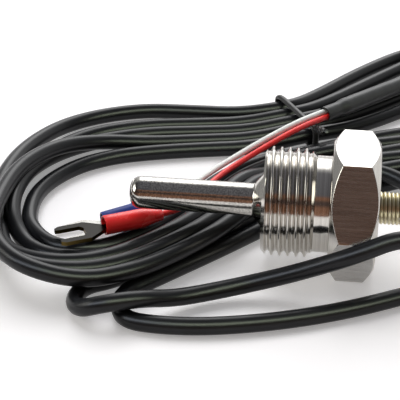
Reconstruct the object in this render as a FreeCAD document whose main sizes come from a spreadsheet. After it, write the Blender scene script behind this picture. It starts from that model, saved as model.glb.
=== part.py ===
import FreeCAD, Part
import math
import os

import Sketcher
from FreeCAD import Placement, Rotation, Vector

# Screw-in temperature sensor with a cable. Millimetres, +Z up. The sensor lies on one flat of its
# hexagon, its axis along X, the measuring tip towards -X. The origin is on the floor, midway
# between the tip and the end of the strain relief.

DIMENSIONS = {
    "hex_across_flats": 24.0, "hex_height": 8.5,
    "hex_chamfer_circle": 23.3, "hex_chamfer_setback": 1.75,
    "undercut_diameter": 17.7, "undercut_width": 2.8,
    "thread_diameter": 20.0, "thread_pitch": 1.5, "thread_depth": 0.9,
    "thread_length": 9.4, "thread_chamfer": 0.9,
    "collar_diameter": 10.2, "collar_length": 1.75, "collar_lip": 0.1,
    "stem_diameter": 6.0, "stem_wall": 0.5, "stem_reach": 24.6,
    "tip_wall": 1.4, "tip_radius": 2.0, "sheath_setback": 1.0,
    "element_diameter": 3.0, "element_length": 4.0, "element_gap": 0.4,
    "paste_overlap": 1.0,
    "element_wire_diameter": 0.3, "element_wire_reach": 8.0,
    "wire_sleeve_diameter": 0.9, "wire_sleeve_gap": 0.3,
    "crimp_diameter": 1.5, "crimp_bore": 0.7, "crimp_length": 5.0, "crimp_insertion": 2.0,
    "splice_sleeve_wall": 0.2, "splice_sleeve_overhang": 1.2, "splice_pitch": 2.1,
    "core_diameter": 1.2, "conductor_diameter": 0.6, "core_spacing": 0.04,
    "potting_gap": 0.5, "fit_clearance": 0.02,
    "spring_diameter": 6.0, "spring_wire": 0.7, "spring_pitch": 0.72, "spring_groove": 0.3,
    "spring_socket_depth": 5.0, "spring_reach": 20.3, "spring_clearance": 0.1,
    "ferrule_length": 9.0, "jacket_insertion": 2.5,
    "cable_diameter": 3.2, "cable_stub": 16.0,
    "shrink_diameter": 3.7, "shrink_length": 30.0, "shrink_mouth_length": 6.0,
    "shrink_mouth_diameter": 3.2, "shrink_step": 0.5, "core_overrun": 1.0, "core_turn_in": 3.8,
    "fork_sleeve_diameter": 3.7, "fork_sleeve_length": 11.5, "fork_sleeve_tail": 2.2,
    "fork_sleeve_taper": 4.2, "fork_barrel_diameter": 2.8, "fork_barrel_wall": 0.5,
    "fork_barrel_recess": 0.8, "fork_reach": 8.9, "fork_width": 5.8,
    "fork_neck_length": 3.2, "fork_slot_width": 3.3, "fork_slot_depth": 5.2,
    "fork_thickness": 0.8, "fork_tip_length": 0.8, "fork_tip_bevel": 0.5, "fork_slot_flare": 0.15,
    "tie_thickness": 1.0, "tie_width": 1.4, "tie_clearance": 0.25,
    "tie_tail_diameter": 1.7, "tie_tail_length": 4.5,
}

# Routes of the cords, laid out by hand: x, y and height of each point.
# The cable leaves the spring, makes a loop on the floor, passes in front of the hexagon, folds back
# under the hank, makes a second loop beneath the spring, comes forward again and enters the hank.
CABLE_LEAD = [
    (32.8, 0.0, 12.0), (40.6, 0.0, 12.0), (49.0, 1.6, 9.6), (55.9, 0.2, 6.2), (60.6, -4.6, 3.2),
    (62.3, -11.4, 1.75), (60.0, -18.0, 1.75), (54.2, -22.0, 2.6), (45.5, -22.6, 5.0),
    (35.6, -20.4, 8.4), (25.8, -17.4, 12.0), (16.4, -15.4, 14.2), (8.8, -16.4, 11.7),
    (2.8, -15.3, 8.3), (-3.2, -14.8, 5.5), (-9.8, -14.9, 3.2), (-17.6, -17.2, 2.2),
    (-23.6, -20.4, 3.6), (-28.6, -23.2, 5.0), (-33.8, -25.0, 4.9), (-38.3, -25.4, 2.8),
    (-41.4, -23.2, 1.7), (-41.6, -19.7, 1.65), (-39.2, -16.9, 1.65), (-35.2, -14.9, 1.65),
    (-30.4, -11.0, 1.65), (-25.3, -5.9, 1.65), (-19.6, 0.0, 1.65), (-13.4, 7.0, 1.65),
    (-7.2, 14.2, 1.65), (-0.6, 20.8, 2.2), (6.0, 25.6, 4.95), (13.0, 27.0, 4.95),
    (19.4, 24.2, 3.8), (24.8, 19.2, 2.0), (29.2, 12.8, 1.65), (31.0, 4.8, 1.65),
    (28.8, -3.2, 1.65), (23.8, -9.2, 1.65), (16.9, -13.5, 1.65), (8.5, -18.3, 1.65),
    (-0.1, -22.1, 1.65), (-8.6, -24.9, 1.65), (-17.1, -26.8, 1.65), (-24.6, -27.4, 1.65),
    (-30.4, -26.2, 1.65), (-33.4, -22.4, 1.65), (-32.2, -18.2, 1.65), (-28.0, -14.4, 1.65),
    (-22.8, -8.8, 1.65), (-17.0, -2.6, 1.65), (-10.8, 4.4, 1.65), (-4.6, 11.6, 1.65),
    (2.0, 18.2, 1.65), (9.0, 23.6, 1.65), (16.2, 28.2, 1.65), (22.4, 32.0, 1.65), (27.3, 35.8, 1.65),
]
# The wound turns, as stations round the hank from the tie leftwards: x, y, half the spread of the
# outermost cables' middles, lift of the outer and of the inner part, and the height of a turn that
# crosses on top. Where the hank lies over the lead, its outer part is lifted.
HANK_STATIONS = [
    (-4.0, 50.2, 6.5, 1.3, 1.3, 0.0), (-14.0, 46.2, 7.8, 0.0, 0.0, 0.0),
    (-24.5, 44.0, 8.6, 0.0, 0.0, 0.0), (-35.4, 42.0, 9.4, 0.0, 0.0, 0.0),
    (-45.6, 37.2, 8.6, 0.0, 0.0, 1.6), (-53.0, 28.4, 5.9, 0.0, 0.0, 3.3),
    (-57.3, 16.6, 3.7, 0.0, 0.0, 4.6), (-57.4, 3.6, 3.5, 0.0, 0.0, 5.4),
    (-54.8, -8.6, 4.8, 1.9, 0.0, 4.0), (-48.6, -15.2, 6.2, 3.9, 0.0, 2.0),
    (-40.8, -15.2, 6.4, 3.9, 0.0, 0.0), (-34.0, -11.2, 6.5, 3.6, 0.0, 0.0),
    (-28.1, -4.9, 6.5, 3.4, 0.0, 0.0), (-22.2, 2.5, 6.5, 3.4, 0.0, 0.0),
    (-17.1, 11.4, 6.4, 3.4, 0.0, 0.0), (-13.4, 21.3, 6.4, 3.4, 0.0, 0.0),
    (-6.8, 28.6, 6.2, 0.0, 0.0, 0.0), (1.8, 33.4, 5.8, 0.0, 0.0, 0.0),
    (10.1, 38.2, 6.2, 0.0, 0.0, 0.0), (18.8, 42.6, 6.4, 0.0, 0.0, 0.0),
    (30.0, 47.5, 6.4, 0.0, 0.0, 1.6), (40.0, 54.5, 6.4, 0.0, 0.0, 3.3),
    (47.3, 64.0, 6.4, 0.0, 0.0, 3.3), (49.8, 75.0, 6.4, 0.0, 0.0, 3.3),
    (46.3, 85.5, 6.4, 0.0, 0.0, 3.3), (38.0, 91.3, 6.8, 0.0, 0.0, 1.6),
    (28.0, 87.0, 8.2, 0.0, 0.0, 0.0), (18.0, 73.8, 9.8, 0.0, 0.0, 0.0),
    (3.5, 56.2, 7.4, 0.6, 0.6, 0.0),
]
# The lift grows across the hank between these two shares of the half spread.
LIFT_FROM = -0.55
LIFT_FULL = 0.05
TIE_TAIL_HEADING = (0.45, -0.8, 0.25)
# The last turn rises on top of the others and runs straight into the sleeve.
TAIL_START = (26.5, 75.2, 4.95)
SLEEVE_MOUTH = (1.9, 46.3, 6.9)
# The two cores lie side by side in the sleeve: the level and the upward share of that direction.
CORE_LAY = (-0.77, 0.64)
# The two cores after the mouth of the sleeve, and the wire end and direction of their terminals.
WHITE_LEAD = [
    (-3.5, 41.1, 7.7), (-9.2, 35.9, 6.6), (-14.9, 29.9, 5.2), (-19.8, 23.8, 4.4), (-23.2, 16.6, 4.4),
]
WHITE_TERMINAL = ((-28.65, 9.95, 3.6), (-0.878, -0.467, -0.11))
RED_LEAD = [
    (-2.9, 39.4, 7.3), (-8.6, 33.9, 6.2), (-14.0, 28.0, 5.0), (-18.4, 21.2, 4.5), (-20.8, 13.2, 4.9),
]
RED_TERMINAL = ((-27.3, 3.7, 5.3), (-0.893, -0.45, -0.01))

os.makedirs("parts", exist_ok=True)
doc = FreeCAD.newDocument("temperature_sensor")
sheet = doc.addObject("Spreadsheet::Sheet", "dims")
for row, (alias, size) in enumerate(DIMENSIONS.items(), start=1):
    sheet.set(f"A{row}", alias)
    sheet.set(f"B{row}", str(size))
    sheet.setAlias(f"B{row}", alias)
doc.recompute()


def number(expression):
    """The value of an expression written with the sheet's names."""
    result = sheet.evalExpression(expression)
    return float(getattr(result, "Value", result))


# Places along the axis, all from the sheet
AXIS = "(dims.hex_across_flats / 2)"
AHEAD_OF_SEAT = "(dims.thread_length + dims.undercut_width + dims.stem_reach)"
SEAT = f"(({AHEAD_OF_SEAT} - dims.hex_height - dims.spring_reach) / 2)"
THREAD_END = f"({SEAT} - dims.undercut_width - dims.thread_length)"
TIP = f"({THREAD_END} - dims.stem_reach)"
REAR = f"({SEAT} + dims.hex_height)"
SPRING_FRONT = f"({REAR} - dims.spring_socket_depth)"
SPRING_END = f"({REAR} + dims.spring_reach)"
STEM_BORE = "(dims.stem_diameter - 2 * dims.stem_wall)"
ELEMENT = f"({TIP} + dims.tip_wall + dims.element_gap)"
ELEMENT_REAR = f"({ELEMENT} + dims.element_length)"
CRIMP = f"({ELEMENT_REAR} + dims.element_wire_reach)"
CRIMP_REAR = f"({CRIMP} + dims.crimp_length)"
POTTING = f"({CRIMP_REAR} + dims.splice_sleeve_overhang + dims.potting_gap)"
JACKET = f"({SPRING_FRONT} - dims.jacket_insertion)"
ALONG_X = Rotation(Vector(0, 1, 0), 90)


def outline(body, name, plane, corners):
    """A closed outline on one of the body's own planes, with every corner bound to the sheet."""
    sketch = body.newObject("Sketcher::SketchObject", name)
    sketch.AttachmentSupport = [([f for f in body.Origin.OriginFeatures if f.Role == plane][0], "")]
    sketch.MapMode = "FlatFace"
    spots = [Vector(number(across), number(up), 0) for across, up in corners]
    count = len(spots)
    for i in range(count):
        sketch.addGeometry(Part.LineSegment(spots[i], spots[(i + 1) % count]))
    for i in range(count):
        sketch.addConstraint(Sketcher.Constraint("Coincident", i, 2, (i + 1) % count, 1))
    for i, (across, up) in enumerate(corners):
        for kind, expression, value in (("DistanceX", across, spots[i].x), ("DistanceY", up, spots[i].y)):
            index = sketch.addConstraint(Sketcher.Constraint(kind, -1, 1, i, 1, value))
            sketch.setExpression(f"Constraints[{index}]", expression)
    return sketch


def turn(body, kind, name, corners):
    """A Revolution or a Groove of an outline (place along the axis, radius) about the body's X axis."""
    sketch = outline(body, name + "_outline", "XZ_Plane", corners)
    feature = body.newObject("PartDesign::" + kind, name)
    feature.Profile = sketch
    feature.ReferenceAxis = (sketch, ["H_Axis"])
    feature.Angle = 360
    doc.recompute()
    return feature


def repeat(body, name, feature, spacing, copies):
    """Copies of a groove along the body's X axis."""
    pattern = body.newObject("PartDesign::LinearPattern", name)
    pattern.Originals = [feature]
    pattern.Direction = (feature.Profile[0], ["H_Axis"])
    pattern.setExpression("Occurrences", copies)
    pattern.setExpression("Length", f"{spacing} * ({copies} - 1)")
    body.Tip = pattern
    doc.recompute()


def place_on_axis(item, start):
    item.setExpression("Placement.Base.x", start)
    item.setExpression("Placement.Base.z", AXIS)


def rod(label, start, length, diameter, side="0"):
    """A round bar along X, beside the sensor's axis where a side is given."""
    bar = doc.addObject("Part::Cylinder", label)
    bar.Label = label
    bar.Placement = Placement(Vector(0, 0, 0), ALONG_X)
    bar.setExpression("Radius", f"({diameter}) / 2")
    bar.setExpression("Height", length)
    bar.setExpression("Placement.Base.y", side)
    place_on_axis(bar, start)
    return bar


def cut(label, base, *tools):
    """What is left of the base where the tools are taken away."""
    tool = tools[0]
    if len(tools) > 1:
        tool = doc.addObject("Part::MultiFuse", label + "_tools")
        tool.Shapes = list(tools)
    result = doc.addObject("Part::Cut", label)
    result.Label = label
    result.Base = base
    result.Tool = tool
    return result


def pipe(label, start, length, diameter, bore, side="0"):
    """A plain tube along X."""
    outside = rod(label + "_outside", start, length, diameter, side)
    inside = rod(label + "_inside", start, length, bore, side)
    return cut(label, outside, inside)


def make_process_fitting():
    """Hexagon, undercut, thread, collar and stepped bore; its own X runs from the rear to the tip."""
    body = doc.addObject("PartDesign::Body", "process_fitting")
    body.Placement = Placement(Vector(0, 0, 0), Rotation(Vector(0, 0, 1), 180))
    place_on_axis(body, REAR)
    corner = "(dims.hex_across_flats / sqrt(3))"
    flat = "(dims.hex_across_flats / 2)"
    hexagon = outline(body, "hexagon_outline", "YZ_Plane", [
        (corner, "0"), (f"{corner} / 2", flat), (f"-{corner} / 2", flat),
        (f"-{corner}", "0"), (f"-{corner} / 2", f"-{flat}"), (f"{corner} / 2", f"-{flat}")])
    pad = body.newObject("PartDesign::Pad", "hexagon")
    pad.Profile = hexagon
    pad.setExpression("Length", "dims.hex_height")
    doc.recompute()

    circle = "(dims.hex_chamfer_circle / 2)"
    beyond = f"({corner} + 1)"
    slope = f"(dims.hex_chamfer_setback * ({beyond} - {circle}) / ({corner} - {circle}))"
    turn(body, "Groove", "rear_chamfer", [("0", circle), (slope, beyond), ("0", beyond)])
    turn(body, "Groove", "front_chamfer", [
        ("dims.hex_height", circle), (f"dims.hex_height - {slope}", beyond), ("dims.hex_height", beyond)])

    relief = "(dims.hex_height + dims.undercut_width)"
    end = f"({relief} + dims.thread_length)"
    crest = "(dims.thread_diameter / 2)"
    turn(body, "Revolution", "shank", [
        ("dims.hex_height", "0"), ("dims.hex_height", "dims.undercut_diameter / 2"),
        (relief, "dims.undercut_diameter / 2"), (relief, crest),
        (f"{end} - dims.thread_chamfer", crest), (end, f"{crest} - dims.thread_chamfer"),
        (end, "dims.collar_diameter / 2"),
        (f"{end} + dims.collar_length", "dims.stem_diameter / 2 + dims.collar_lip"),
        (f"{end} + dims.collar_length", "0")])
    middle = f"({relief} + 0.8 * dims.thread_pitch)"
    root = f"({crest} - dims.thread_depth)"
    notch = turn(body, "Groove", "thread_notch", [
        (f"{middle} - 0.12 * dims.thread_pitch", root), (f"{middle} + 0.12 * dims.thread_pitch", root),
        (f"{middle} + 0.45 * dims.thread_pitch", f"{crest} + 0.01"),
        (f"{middle} - 0.45 * dims.thread_pitch", f"{crest} + 0.01")])
    repeat(body, "thread", notch, "dims.thread_pitch", "floor(dims.thread_length / dims.thread_pitch)")

    stop = f"({relief} - dims.undercut_width + dims.sheath_setback)"
    stem = "(dims.stem_diameter / 2 + dims.fit_clearance)"
    socket = "(dims.spring_diameter / 2 + dims.spring_clearance)"
    bore = turn(body, "Groove", "bore", [
        ("-1", "0"), ("-1", socket), ("dims.spring_socket_depth", socket),
        ("dims.spring_socket_depth", f"{STEM_BORE} / 2"), (stop, f"{STEM_BORE} / 2"), (stop, stem),
        (f"{end} + dims.collar_length + 1", stem), (f"{end} + dims.collar_length + 1", "0")])
    body.Tip = bore
    return body


def make_probe_sheath():
    """A drawn tube with a closed, rounded end."""
    body = doc.addObject("PartDesign::Body", "probe_sheath")
    place_on_axis(body, TIP)
    length = "(dims.stem_reach + dims.thread_length + dims.undercut_width - dims.sheath_setback)"
    tube = turn(body, "Revolution", "tube", [
        ("0", "0"), ("0", "dims.stem_diameter / 2"), (length, "dims.stem_diameter / 2"),
        (length, f"{STEM_BORE} / 2"), ("dims.tip_wall", f"{STEM_BORE} / 2"), ("dims.tip_wall", "0")])
    rim = [f"Edge{i + 1}" for i, edge in enumerate(body.Shape.Edges)
           if len(edge.Vertexes) == 1 and abs(edge.CenterOfMass.x - number(TIP)) < 1e-6]
    rounding = body.newObject("PartDesign::Fillet", "tip_rounding")
    rounding.Base = (tube, rim)
    rounding.setExpression("Radius", "dims.tip_radius")
    body.Tip = rounding
    doc.recompute()
    return body


def make_spring():
    """The close-wound strain relief, as a tube ridged at the pitch of its coils."""
    body = doc.addObject("PartDesign::Body", "strain_relief_spring")
    place_on_axis(body, SPRING_FRONT)
    length = "(dims.spring_socket_depth + dims.spring_reach)"
    crest = "(dims.spring_diameter / 2)"
    turn(body, "Revolution", "coils", [
        ("0", f"{crest} - dims.spring_wire"), ("0", crest), (length, crest),
        (length, f"{crest} - dims.spring_wire")])
    notch = turn(body, "Groove", "valley", [
        ("0.5 * dims.spring_pitch", f"{crest} + 0.01"), ("1.5 * dims.spring_pitch", f"{crest} + 0.01"),
        ("dims.spring_pitch", f"{crest} - dims.spring_groove")])
    repeat(body, "valleys", notch, "dims.spring_pitch", f"(floor({length} / dims.spring_pitch) - 1)")
    return body


def route(points):
    """A path of straight runs joined by tangent arcs, each as large as its two runs allow."""
    spots = [Vector(*point) for point in points]
    edges = []
    radii = []
    at = spots[0]
    for before, corner, after in zip(spots, spots[1:], spots[2:]):
        back = (before - corner).normalize()
        ahead = (after - corner).normalize()
        half_turn = (math.pi - back.getAngle(ahead)) / 2
        reach = 0.45 * min((before - corner).Length, (after - corner).Length)
        radius = reach / math.tan(half_turn)
        start = corner + back * reach
        stop = corner + ahead * reach
        inward = (back + ahead).normalize()
        middle = corner + inward * (radius / math.cos(half_turn) - radius)
        edges.append(Part.LineSegment(at, start).toShape())
        edges.append(Part.Arc(start, middle, stop).toShape())
        radii.append(radius)
        at = stop
    edges.append(Part.LineSegment(at, spots[-1]).toShape())
    return Part.Wire(edges), radii


def feature(label, shape):
    item = doc.addObject("Part::Feature", label)
    item.Label = label
    item.Shape = shape
    return item


def tube_solid(label, points, diameter):
    """A round cord along a route; its volume is compared with its section times its length."""
    path, radii = route(points)
    heading = Vector(*points[1]) - Vector(*points[0])
    ring = Part.Wire(Part.makeCircle(diameter / 2, Vector(*points[0]), heading))
    solid = path.makePipeShell([ring], True, False)
    expected = math.pi * diameter ** 2 / 4 * path.Length
    tightest = sorted(radii)[:3]
    print(f"{label}: length {path.Length:.1f}, volume {solid.Volume / expected:.4f} of section x length, "
          f"smallest radii {[round(r, 1) for r in tightest]}")
    return solid


def hank_frames():
    """Middle and outward direction of every station of the hank, with its other sizes."""
    frames = []
    count = len(HANK_STATIONS)
    for i, (x, y, *sizes) in enumerate(HANK_STATIONS):
        ahead = HANK_STATIONS[(i + 1) % count]
        behind = HANK_STATIONS[i - 1]
        along = Vector(ahead[0] - behind[0], ahead[1] - behind[1], 0).normalize()
        frames.append((Vector(x, y, 0), Vector(along.y, -along.x, 0), along, sizes))
    return frames


def make_cable_hank(diameter, entry, tail_start, tail_heading):
    """One closed ring of the outer shape of all turns, with the two ends of the cable let into it."""
    sections = []
    for middle, outward, along, (spread, lift, inner_lift, crossing) in hank_frames():
        edge = spread + diameter / 2
        gap = min(spread / 2, diameter)
        nested = math.sqrt(diameter ** 2 - gap ** 2)
        height = diameter + max(nested, crossing)
        base = [(edge, lift), (LIFT_FULL * spread, lift),
                (LIFT_FROM * spread, inner_lift), (-edge, inner_lift)]
        top = [(across, low + height) for across, low in reversed(base)]
        corners = [middle + outward * across + Vector(0, 0, high) for across, high in base + top]
        sections.append(corners)
    faces = []
    for ring, following in zip(sections, sections[1:] + sections[:1]):
        for j in range(len(ring)):
            k = (j + 1) % len(ring)
            faces.append(Part.Face(Part.makePolygon([ring[j], ring[k], following[j], ring[j]])))
            faces.append(Part.Face(Part.makePolygon([ring[k], following[k], following[j], ring[k]])))
    ring = Part.makeSolid(Part.makeShell(faces))
    if ring.Volume < 0:
        ring.reverse()
    length = number("dims.cable_stub")
    come_in = (Vector(*entry[-1]) - Vector(*entry[-2])).normalize()
    inlet = Part.makeCylinder(diameter / 2, length, Vector(*entry[-1]), come_in)
    outlet = Part.makeCylinder(diameter / 2, length, tail_start, tail_heading * -1)
    return ring.fuse([inlet, outlet])


def straight(diameter, start, end):
    return Part.makeCylinder(diameter / 2, (end - start).Length, start, end - start)


def make_cords():
    """The cable's free stretches, its hank, the sleeve at its end and the two cores."""
    cable = number("dims.cable_diameter")
    clearance = number("dims.fit_clearance")
    start = Vector(*TAIL_START)
    mouth = Vector(*SLEEVE_MOUTH)
    heading = (mouth - start).normalize()
    jacket_end = mouth - heading * number("dims.shrink_mouth_length")
    nodes = [
        feature("cable_lead", tube_solid("cable_lead", CABLE_LEAD, cable)),
        feature("cable_hank", make_cable_hank(cable, CABLE_LEAD, start, heading)),
        feature("cable_tail", straight(cable, start, jacket_end)),
    ]

    core = number("dims.core_diameter")
    pair = core + number("dims.core_spacing")
    sleeve_start = mouth - heading * number("dims.shrink_length")
    shoulder = jacket_end + heading * number("dims.shrink_step")
    narrow = number("dims.shrink_mouth_diameter")
    outside = straight(number("dims.shrink_diameter"), sleeve_start, shoulder)
    outside = outside.fuse(straight(narrow, shoulder, mouth))
    inside = straight(cable + 2 * clearance, sleeve_start, jacket_end)
    inside = inside.fuse(straight(core + pair + 2 * clearance, jacket_end, mouth))
    nodes.append(feature("heat_shrink_sleeve", outside.cut(inside)))

    level = Vector(-heading.y, heading.x, 0).normalize()
    across = (level * CORE_LAY[0] + heading.cross(level) * CORE_LAY[1]).normalize()
    for label, points, terminal, side in (("white_lead", WHITE_LEAD, WHITE_TERMINAL, 1),
                                          ("red_lead", RED_LEAD, RED_TERMINAL, -1)):
        offset = across * (side * pair / 2)
        wire_end = Vector(*terminal[0])
        inward = Vector(*terminal[1]).normalize()
        ends = [jacket_end + offset, mouth + heading * number("dims.core_overrun") + offset]
        turn_in = wire_end - inward * number("dims.core_turn_in")
        stop = wire_end + inward * number("dims.fork_sleeve_taper")
        whole = ends + [Vector(*point) for point in points] + [turn_in, stop]
        nodes.append(feature(label, tube_solid(label, [tuple(p) for p in whole], core)))
        print(label, "from", [tuple(round(c, 3) for c in p) for p in (ends[0], ends[1], turn_in, stop)])
    return nodes


def terminal_placement(terminal):
    """The wire end of a terminal, its X along the terminal and its blade kept level."""
    forward = Vector(*terminal[1]).normalize()
    side = Vector(0, 0, 1).cross(forward).normalize()
    return Placement(Vector(*terminal[0]), Rotation(forward, side, forward.cross(side), "XZY"))


def make_terminal(colour, terminal):
    """A fork terminal's soft sleeve and the stamped fork with its rolled barrel."""
    place = terminal_placement(terminal)
    sleeve = doc.addObject("PartDesign::Body", colour + "_fork_sleeve")
    wire = "(dims.core_diameter / 2 + dims.fit_clearance)"
    barrel = "(dims.fork_barrel_diameter / 2)"
    outside = "(dims.fork_sleeve_diameter / 2)"
    turn(sleeve, "Revolution", colour + "_sleeve", [
        ("0", wire), ("0", "dims.fork_sleeve_tail / 2"), ("dims.fork_sleeve_taper", outside),
        ("dims.fork_sleeve_length", outside), ("dims.fork_sleeve_length", f"{barrel} + dims.fit_clearance"),
        ("dims.fork_sleeve_taper", f"{barrel} + dims.fit_clearance"), ("dims.fork_sleeve_taper", wire)])
    sleeve.Placement = place

    fork = doc.addObject("PartDesign::Body", colour + "_fork")
    barrel_end = "(dims.fork_sleeve_length - dims.fork_barrel_recess)"
    turn(fork, "Revolution", colour + "_barrel", [
        ("dims.fork_sleeve_taper", f"{barrel} - dims.fork_barrel_wall"), ("dims.fork_sleeve_taper", barrel),
        (barrel_end, barrel), (barrel_end, f"{barrel} - dims.fork_barrel_wall")])
    root = f"({barrel_end} - 2 * dims.fork_thickness)"
    tip = "(dims.fork_sleeve_length + dims.fork_reach)"
    neck = "(dims.fork_sleeve_length + dims.fork_neck_length)"
    slot_end = f"({tip} - dims.fork_slot_depth)"
    half = "(dims.fork_width / 2)"
    slot = "(dims.fork_slot_width / 2)"
    half_neck = f"(0.6 * {barrel})"
    shoulder = f"({tip} - dims.fork_tip_length)"
    one_side = [
        (root, half_neck), ("dims.fork_sleeve_length", half_neck), (neck, half), (shoulder, half),
        (tip, f"({half} - dims.fork_tip_bevel)"), (tip, f"({slot} + dims.fork_slot_flare)"),
        (shoulder, slot), (f"{slot_end} + 0.4 * {slot}", slot), (slot_end, f"(0.6 * {slot})")]
    other_side = [(along, f"-{across}") for along, across in reversed(one_side)]
    blade = outline(fork, colour + "_blade_outline", "XY_Plane", one_side + other_side)
    blade.setExpression("AttachmentOffset.Base.z", f"-0.75 * {barrel}")
    pad = fork.newObject("PartDesign::Pad", colour + "_blade")
    pad.Profile = blade
    pad.setExpression("Length", "dims.fork_thickness")
    doc.recompute()
    fork.Placement = place
    return [sleeve, fork]


def make_cable_tie(diameter):
    """A flat loop round the far side of the hank, with its two ends twisted together."""
    middle, outward, along, (spread, lift, _, _) = hank_frames()[0]
    clear = number("dims.tie_clearance")
    thick = number("dims.tie_thickness")
    width = number("dims.tie_width")
    reach = spread + diameter / 2 + clear
    low = lift - clear
    high = lift + diameter + clear

    def band_face(grow):
        start = middle - along * (width / 2)
        corners = [(-reach - grow, low - grow), (reach + grow, low - grow),
                   (reach + grow, high + grow), (-reach - grow, high + grow)]
        spots = [start + outward * across + Vector(0, 0, up) for across, up in corners]
        return Part.Face(Part.makePolygon(spots + spots[:1])).extrude(along * width)

    band = band_face(thick).cut(band_face(0))
    radius = number("dims.tie_tail_diameter") / 2
    heading = Vector(*TIE_TAIL_HEADING).normalize()
    knot = middle - outward * (reach + thick) + Vector(0, 0, high + radius) - heading * (thick / 2)
    tail = Part.makeCylinder(radius, number("dims.tie_tail_length"), knot, heading)
    return feature("cable_tie", band.fuse(tail).removeSplitter().cut(band_face(0)))


def make_inner_core(label, side):
    """One core from its splice to the end of the jacket, with a bare end in the crimp."""
    height = number(AXIS)
    at_splice = side * number("dims.splice_pitch") / 2
    at_jacket = side * (number("dims.core_diameter") + number("dims.core_spacing")) / 2
    splice = number(CRIMP_REAR)
    jacket = number(JACKET)
    third = (jacket - splice) / 3
    points = [(splice, at_splice, height), (splice + third, at_splice, height),
              (jacket - third, at_jacket, height), (jacket, at_jacket, height)]
    insulated = tube_solid(label, points, number("dims.core_diameter"))
    bare_end = Vector(splice - number("dims.crimp_insertion"), at_splice, height)
    bare = straight(number("dims.conductor_diameter"), bare_end, Vector(*points[0]))
    return feature(label, insulated.fuse(bare))


nodes = [make_process_fitting(), make_probe_sheath(), make_spring()]
element = rod("sensing_element", ELEMENT, "dims.element_length", "dims.element_diameter")
nodes.append(element)
in_paste = [element]
cores = []
for suffix, sign, colour in (("a", 1, "white"), ("b", -1, "red")):
    side = f"{sign} * dims.splice_pitch / 2"
    wire = rod("element_wire_" + suffix, ELEMENT_REAR, "dims.element_wire_reach + dims.crimp_insertion",
               "dims.element_wire_diameter", side)
    wire_sleeve = pipe("wire_sleeve_" + suffix, f"{ELEMENT_REAR} + dims.wire_sleeve_gap",
                       "dims.element_wire_reach - 2 * dims.wire_sleeve_gap", "dims.wire_sleeve_diameter",
                       "dims.element_wire_diameter + 2 * dims.fit_clearance", side)
    crimp = pipe("splice_crimp_" + suffix, CRIMP, "dims.crimp_length", "dims.crimp_diameter",
                 "dims.crimp_bore", side)
    crimp_fit = "(dims.crimp_diameter + 2 * dims.fit_clearance)"
    splice_sleeve = pipe("splice_sleeve_" + suffix, f"{CRIMP} - dims.splice_sleeve_overhang",
                         "dims.crimp_length + 2 * dims.splice_sleeve_overhang",
                         f"{crimp_fit} + 2 * dims.splice_sleeve_wall", crimp_fit, side)
    core = make_inner_core("inner_core_" + colour, sign)
    cores.append(core)
    in_paste += [wire, wire_sleeve]
    nodes += [wire, wire_sleeve, crimp, splice_sleeve, core]

FILLING = f"({STEM_BORE} - 2 * dims.fit_clearance)"
paste_blank = rod("thermal_paste_blank", f"{TIP} + dims.tip_wall",
                  "dims.element_gap + dims.element_length + dims.paste_overlap", FILLING)
nodes.append(cut("thermal_paste", paste_blank, *in_paste))
cable_entry = rod("cable_entry", JACKET, f"{SPRING_END} - {JACKET}", "dims.cable_diameter")
potting_blank = rod("potting_resin_blank", POTTING, f"{SPRING_FRONT} - {POTTING}", FILLING)
nodes += [cable_entry, cut("potting_resin", potting_blank, cable_entry, *cores)]
ferrule_outside = "(dims.spring_diameter - 2 * dims.spring_wire - 2 * dims.spring_clearance)"
nodes.append(pipe("cable_ferrule", SPRING_FRONT, "dims.ferrule_length", ferrule_outside,
                  "dims.cable_diameter + 2 * dims.fit_clearance"))
nodes += make_cords()
nodes += make_terminal("red", RED_TERMINAL)
nodes += make_terminal("blue", WHITE_TERMINAL)
nodes.append(make_cable_tie(number("dims.cable_diameter")))

doc.recompute()
for item in doc.Objects:
    if "Invalid" in item.State or "Error" in item.State:
        raise RuntimeError(f"{item.Label} failed: {item.State}")
for node in nodes:
    if node.Shape.isNull() or not node.Shape.isValid() or len(node.Shape.Solids) != 1:
        raise RuntimeError(f"{node.Label} has no single valid solid")
for node in nodes:
    node.Shape.exportStep(f"parts/{node.Label}.step")
    box = node.Shape.BoundBox
    print(f"{node.Label}: {node.Shape.Volume:.1f} mm3, x {box.XMin:.1f} to {box.XMax:.1f}, "
          f"y {box.YMin:.1f} to {box.YMax:.1f}, z {box.ZMin:.2f} to {box.ZMax:.2f}")
print(len(nodes), "nodes")
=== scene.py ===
# %% [markdown]
# This lesson dresses a screw-in temperature sensor that lies on a pale table in front of its cable. The
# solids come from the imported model, in metres, and every piece made here goes where its solid is.
# Positions below are written in millimetres, as a drawing would give them, and are turned into metres
# when a piece is made.

import bmesh
import bpy
import numpy as np
from mathutils import Matrix


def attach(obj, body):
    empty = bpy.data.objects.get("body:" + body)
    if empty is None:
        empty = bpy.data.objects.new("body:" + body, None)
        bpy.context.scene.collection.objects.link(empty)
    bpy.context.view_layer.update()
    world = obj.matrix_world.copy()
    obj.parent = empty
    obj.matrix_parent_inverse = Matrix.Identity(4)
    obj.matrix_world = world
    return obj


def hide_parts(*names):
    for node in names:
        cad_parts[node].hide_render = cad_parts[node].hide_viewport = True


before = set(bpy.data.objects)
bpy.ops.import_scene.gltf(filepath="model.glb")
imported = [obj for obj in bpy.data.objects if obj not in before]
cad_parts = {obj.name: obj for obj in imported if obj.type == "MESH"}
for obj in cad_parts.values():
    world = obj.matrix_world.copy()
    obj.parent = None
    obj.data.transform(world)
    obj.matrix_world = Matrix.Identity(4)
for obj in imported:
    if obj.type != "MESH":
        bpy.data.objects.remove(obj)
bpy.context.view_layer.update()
MM = 0.001

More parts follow.
